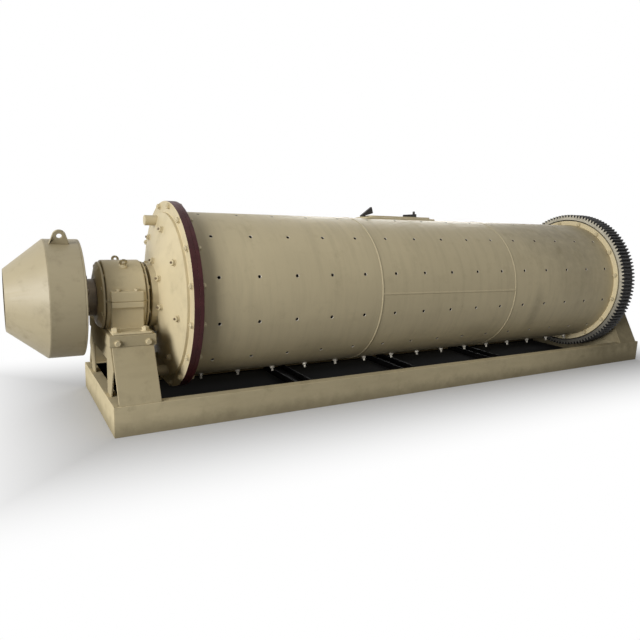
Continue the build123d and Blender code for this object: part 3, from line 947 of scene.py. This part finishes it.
class MILL_OT_ends(bpy.types.Operator):
    """Finish the drum's ends: flanges, heads, lifting pins, trunnions and their bolts"""

    bl_idname = "mill.ends"
    bl_label = "Heads and Trunnions"

    def head_bolts(self, side):
        """Places of the bolts that hold the head's liner, on its cone."""
        slope = (CONE_REACH - HEAD_STEP) / (HEAD_DISC_RADIUS - HUB_RADIUS)
        places = []
        for radius in HEAD_BOLT_RADII:
            depth = HEAD_STEP + (HEAD_DISC_RADIUS - radius) * slope
            for step in range(8):
                angle = math.radians(HEAD_BOLT_START - 45 * step)
                direction = Vector((side, 0, 0)) + outward(angle) * slope
                places.append(facing(on_drum(reach(side, depth), radius, angle), direction, angle))
        return places

    def execute(self, context):
        edge = sizes().turned_edge
        # Painted light: the discharge flange and head rim take a lighter copy of the cream enamel, standing
        # for the light on that end.
        rims = {"feed": ("maroon_coat", "maroon_primer"), "discharge": ("painted_highlight_enamel", "cream_paint")}
        for end, side in ENDS.items():
            rim_finish, slot = rims[end]
            rounded_node(f"shell_flange_{end}", "drum", rim_finish, edge)

            head = softened(f"{end}_head", edge)
            paint_faces(head, lambda middle, normal: radius_of(middle) > HEAD_RIM and abs(normal.x) < 0.8, 1)
            finishes = ["cream_enamel", rim_finish]
            piece(f"{end}_head_finished", head, "drum", finishes, [f"{end}_head"])
            rounded_node(f"{end}_head_pins", "drum", "cream_enamel", edge)
            rounded_node(f"{end}_trunnion", "drum", "oiled_trunnion", edge * 0.7)

            rings = [(reach(side, -FLANGE_PAIR), -side)]
            if end == "feed":
                rings.insert(0, (reach(side, 0), side))
            places = []
            for x, hand in rings:
                for step in range(FLANGE_BOLT_COUNT):
                    angle = math.radians(FLANGE_BOLT_START[end] + 360 / FLANGE_BOLT_COUNT * step)
                    point = on_drum(x, FLANGE_BOLT_RADIUS[end], angle)
                    places.append(facing(point, (hand, 0, 0), angle * 1.7))
            bolts = stamped(hex_bolt(0.036, 0.016, 0.004, 0.009, 0.006), places)
            fasteners(f"{end}_flange_bolts", bolts, "drum", ["cream_enamel"] * 2)
            liner = stamped(hex_bolt(0.038, 0.018, 0.005, 0.0085, 0.010), self.head_bolts(side))
            fasteners(f"{end}_head_bolts", liner, "drum", ["cream_enamel", "rusty_stud"])

        places = []
        for step in range(8):
            angle = math.radians(22.5 + 45 * step)
            point = on_drum(reach(-1, TRUNNION_FLANGE_BACK), TRUNNION_BOLT_RADIUS, angle)
            places.append(facing(point, (1, 0, 0), angle))
        joint = stamped(hex_bolt(0.030, 0.014, 0.003), places)
        fasteners("feed_trunnion_flange_bolts", joint, "drum", ["oiled_trunnion"])
        return {"FINISHED"}


class MILL_OT_manhole(bpy.types.Operator):
    """Finish the manhole: frame, cover and clamps"""

    bl_idname = "mill.manhole"
    bl_label = "Manhole"

    def execute(self, context):
        edge = sizes().plate_edge
        rounded_node("manhole_frame", "drum", "shell_enamel", edge)
        rounded_node("manhole_cover", "drum", "shell_enamel", edge)
        rounded_node("manhole_clamps", "drum", "black_clamp", edge)
        return {"FINISHED"}


class MILL_OT_gear(bpy.types.Operator):
    """Finish the girth gear with dry tooth ends, greased flanks and a painted-shade web face in the flange
    gap
    """

    bl_idname = "mill.gear"
    bl_label = "Girth Gear"

    def execute(self, context):
        gear = softened("girth_gear", sizes().tooth_edge, 1)
        paint_faces(gear, lambda middle, normal: abs(normal.x) < 0.9, 1)
        # Painted shade: the recessed web face behind the flange gap is painted black so the gap reads dark.
        paint_faces(gear, lambda middle, normal: normal.x < -0.9 and middle.x > GEAR_FACE + 0.01, 1)
        finishes = ["dry_tooth_face", "black_grease_and_gap_shade"]
        piece("girth_gear_finished", gear, "drum", finishes, ["girth_gear"], 8)
        return {"FINISHED"}


class MILL_OT_feeder(bpy.types.Operator):
    """Finish the drum feeder: back plate, drum, cone and lifting lug"""

    bl_idname = "mill.feeder"
    bl_label = "Feeder"

    def execute(self, context):
        edge = sizes().plate_edge
        for node in ("feeder_back_plate", "feeder_drum", "feeder_cone", "feeder_lug"):
            rounded_node(node, "drum", "feeder_enamel", edge)
        return {"FINISHED"}


class MILL_OT_stage(bpy.types.Operator):
    """Set up the floor, the soft lights, the white surround and the camera"""

    bl_idname = "mill.stage"
    bl_label = "Studio"

    def floor(self):
        """Pale floor, darkened inside the base as painted shadow, that fades to white away from the mill and
        keeps its shadow.
        """
        bm = bmesh.new()
        bmesh.ops.create_grid(bm, x_segments=8, y_segments=8, size=60)
        mesh = bpy.data.meshes.new("studio_floor")
        bm.to_mesh(mesh)
        bm.free()
        floor = bpy.data.objects.new("studio_floor", mesh)
        bpy.context.scene.collection.objects.link(floor)
        finish = Finish("floor_paper")
        beside = [
            finish.node("ShaderNodeMath", {"operation": "ABSOLUTE"}, {0: finish.along(axis)}) - half
            for axis, half in (("X", BASE_HALF_LENGTH), ("Y", BASE_HALF_WIDTH))
        ]
        away = finish.node("ShaderNodeMath", {"operation": "MAXIMUM"}, {0: beside[0], 1: beside[1]})
        pale = colours().floor
        tone = finish.blend(finish.seen(), tinted(pale, 0.4), pale)
        outside = finish.band(away, -0.02, 0.02)
        # Painted shadow: inside the base the floor is darkened to stand for the shade under the mill.
        tone = finish.blend(outside, tinted(pale, 0.09), tone)
        finish.shade(Base_Color=tone, Roughness=0.9)
        finish.shader.inputs["Specular IOR Level"].default_value = 0.0
        white = finish.node("ShaderNodeEmission", {}, {"Color": (1, 1, 1, 1), "Strength": 1.0})
        share = finish.seen() * outside * finish.band(away, -0.25, 1.2)
        body = Wire(finish, finish.shader.outputs[0])
        mixed = finish.node("ShaderNodeMixShader", {}, {0: share, 1: body, 2: white})
        finish.join(finish.tree.nodes["Material Output"].inputs["Surface"], mixed)
        mesh.materials.append(finish.material)

    def lamp(self, name, place, target, size, power):
        """Square soft light turned to a target."""
        light = bpy.data.lights.new(name, "AREA")
        light.shape = "SQUARE"
        light.size = size
        light.energy = power
        lamp = bpy.data.objects.new(name, light)
        lamp.location = place
        lamp.rotation_euler = (Vector(target) - Vector(place)).to_track_quat("-Z", "Y").to_euler()
        bpy.context.scene.collection.objects.link(lamp)

    def surround(self):
        """White to the camera, soft ambient light to the mill."""
        world = bpy.data.worlds.new("studio")
        bpy.context.scene.world = world
        world.use_nodes = True
        nodes = Nodes(world.node_tree)
        back = world.node_tree.nodes["Background"]
        nodes.join(back.inputs["Color"], (1, 1, 1))
        nodes.join(back.inputs["Strength"], 0.22 + 0.78 * nodes.seen())

    def camera(self):
        """Camera at the feed end, a little above the axis."""
        lens = bpy.data.cameras.new("studio_camera")
        lens.lens = CAMERA_LENS
        lens.sensor_width = 36.0
        lens.sensor_fit = "HORIZONTAL"
        lens.clip_end = 200
        camera = bpy.data.objects.new("studio_camera", lens)
        turn = (
            Matrix.Rotation(math.radians(CAMERA_HEADING), 4, "Z")
            @ Matrix.Rotation(math.radians(90 - CAMERA_DIP), 4, "X")
            @ Matrix.Rotation(math.radians(CAMERA_ROLL), 4, "Z")
        )
        camera.matrix_world = Matrix.Translation(CAMERA_PLACE) @ turn
        bpy.context.scene.collection.objects.link(camera)
        bpy.context.scene.camera = camera

    def execute(self, context):
        self.floor()
        self.surround()
        self.lamp("key_light", (-14.0, -5.0, 3.9), (-1.0, 0.0, 0.8), 7.0, 1830)
        self.lamp("top_light", (0.0, -2.0, 8.0), (-0.5, 0.0, 0.8), 6.0, 45)
        self.lamp("rear_light", (7.0, 9.0, 5.0), (0.0, 0.0, 0.8), 6.0, 520)
        self.camera()
        context.scene.view_settings.view_transform = "Standard"
        return {"FINISHED"}


STEPS = (
    MILL_OT_base,
    MILL_OT_pedestals,
    MILL_OT_bearings,
    MILL_OT_shell,
    MILL_OT_ends,
    MILL_OT_manhole,
    MILL_OT_gear,
    MILL_OT_feeder,
    MILL_OT_stage,
)


class MILL_PT_dressing(bpy.types.Panel):
    """Sidebar panel with the mill's sizes, colours and steps"""

    bl_idname = "MILL_PT_dressing"
    bl_label = "Ball Mill"
    bl_space_type = "VIEW_3D"
    bl_region_type = "UI"
    bl_category = "Ball Mill"

    def draw(self, context):
        for group in (context.scene.mill_sizes, context.scene.mill_colours):
            column = self.layout.column(align=True)
            for name in group.__annotations__:
                column.prop(group, name)
        for step in STEPS:
            self.layout.operator(step.bl_idname)


CLASSES = (MillSizes, MillColours, *STEPS, MILL_PT_dressing)


def register():
    for cls in CLASSES:
        bpy.utils.register_class(cls)
    bpy.types.Scene.mill_sizes = PointerProperty(type=MillSizes)
    bpy.types.Scene.mill_colours = PointerProperty(type=MillColours)


def unregister():
    del bpy.types.Scene.mill_colours
    del bpy.types.Scene.mill_sizes
    for cls in reversed(CLASSES):
        bpy.utils.unregister_class(cls)


def main():
    """Registers the steps and dresses the mill."""
    register()
    for step in STEPS:
        group, name = step.bl_idname.split(".")
        getattr(getattr(bpy.ops, group), name)()


if __name__ == "__main__":
    main()
